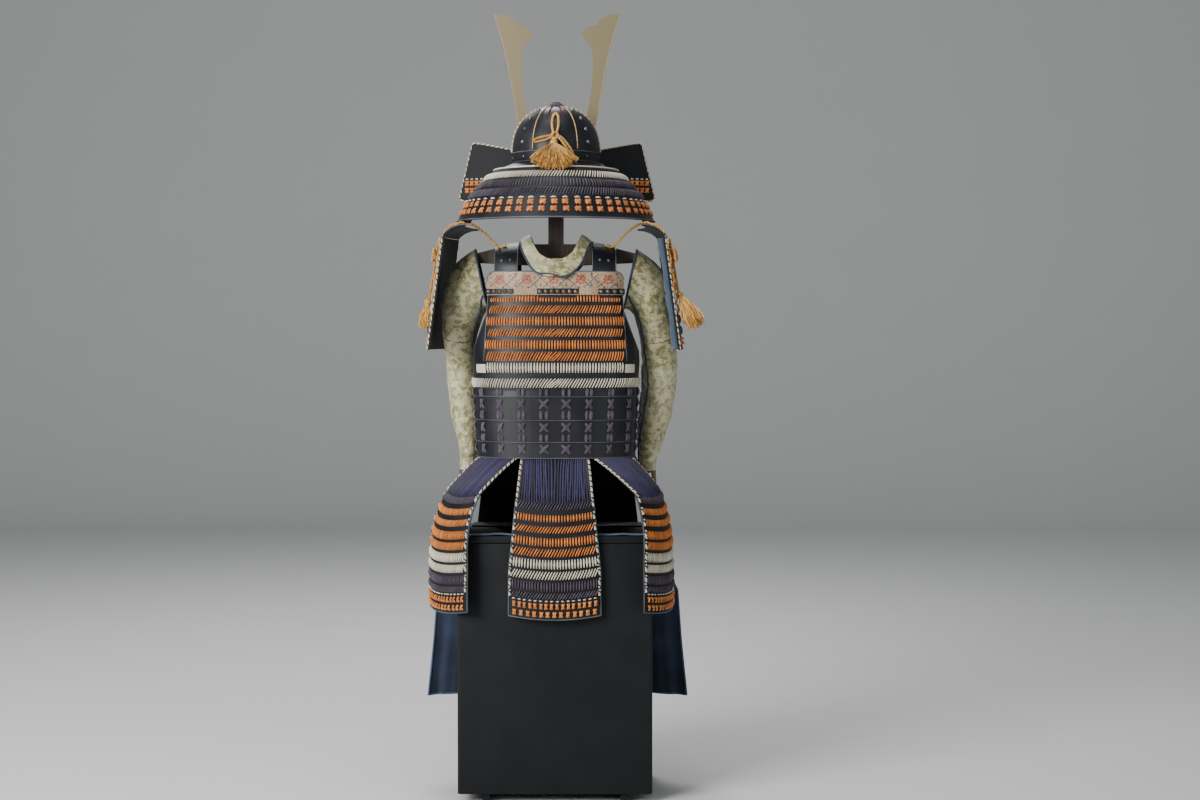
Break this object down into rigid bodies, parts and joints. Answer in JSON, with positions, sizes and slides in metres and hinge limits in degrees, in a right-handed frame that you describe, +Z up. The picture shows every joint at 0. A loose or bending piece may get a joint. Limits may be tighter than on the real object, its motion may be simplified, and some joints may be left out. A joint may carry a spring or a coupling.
{
  "type": "samurai armour on a display chest",
  "caption": "Full laced plate armour with horned helmet, shoulder guards, sleeves and hanging skirt plates, worn by a plain stand on a closed chest.",
  "frame": {"origin": "middle of the part's outline on the floor, under the chest's runners", "axes": "+Z up, +X towards the wearer's left, -Y the way the armour faces, so its back faces +Y"},
  "size_m": [0.6484, 0.4453, 1.8545],
  "materials": {
    "chest_lacquer": "satin near-black lacquer on wood",
    "stand_wood": "matte dark stain",
    "black_lacquer": "satin black lacquer",
    "pale_brass": "brushed, pale",
    "crown_fitting": "aged, dark",
    "gold_cord": "twisted silk",
    "orange_lacing": "flat braided silk",
    "white_lacing": "flat braided silk",
    "purple_lacing": "flat braided silk",
    "brocade": "woven brocade with a metallic thread",
    "printed_leather": "printed and stamped",
    "brown_leather": "matte",
    "navy_cloth": "plain weave"
  },
  "bodies": {
    "root": {"chest_body": "chest_lacquer", "chest_lid": "chest_lacquer", "chest_runner_left": "chest_lacquer", "chest_runner_right": "chest_lacquer", "stand_frame": "stand_wood", "stand_head_block": "stand_wood", "helmet_bowl": "black_lacquer", "helmet_finial": "crown_fitting", "helmet_band": "black_lacquer", "helmet_visor": "black_lacquer", "helmet_turnback_left": "black_lacquer", "helmet_turnback_right": "black_lacquer", "horn_mount": "pale_brass", "horn_left": "pale_brass", "horn_right": "pale_brass", "helmet_bow": "gold_cord", "helmet_tassel": "gold_cord", "neck_lame_1": "black_lacquer", "neck_lame_2": "white_lacing", "neck_lame_3": "purple_lacing", "neck_lame_4": "purple_lacing", "neck_lame_5": "black_lacquer", "waist_back": "black_lacquer", "waist_front": "black_lacquer", "back_plate": "orange_lacing", "front_plate": "orange_lacing", "side_wing_left": "black_lacquer", "side_wing_right": "black_lacquer", "back_top_plate": "printed_leather", "front_top_plate": "printed_leather", "shoulder_strap_left": "black_lacquer", "shoulder_strap_right": "black_lacquer", "neck_collar": "brocade", "sleeve_left": "brocade", "sleeve_right": "brocade", "hand_guard_left": "brown_leather", "hand_guard_right": "brown_leather", "thigh_guard_yoke": "navy_cloth", "thigh_guard_left": "navy_cloth", "thigh_guard_right": "navy_cloth", "shoulder_guard_left": "orange_lacing", "guard_top_left": "black_lacquer", "guard_cord_left": "gold_cord", "guard_tassel_left": "gold_cord", "shoulder_guard_right": "orange_lacing", "guard_top_right": "black_lacquer", "guard_cord_right": "gold_cord", "guard_tassel_right": "gold_cord", "tasset_rear": "orange_lacing", "tasset_rear_left": "orange_lacing", "tasset_rear_right": "orange_lacing", "tasset_side_left": "orange_lacing", "tasset_side_right": "orange_lacing", "tasset_front_left": "orange_lacing", "tasset_front_right": "orange_lacing"}
  },
  "joints": []
}
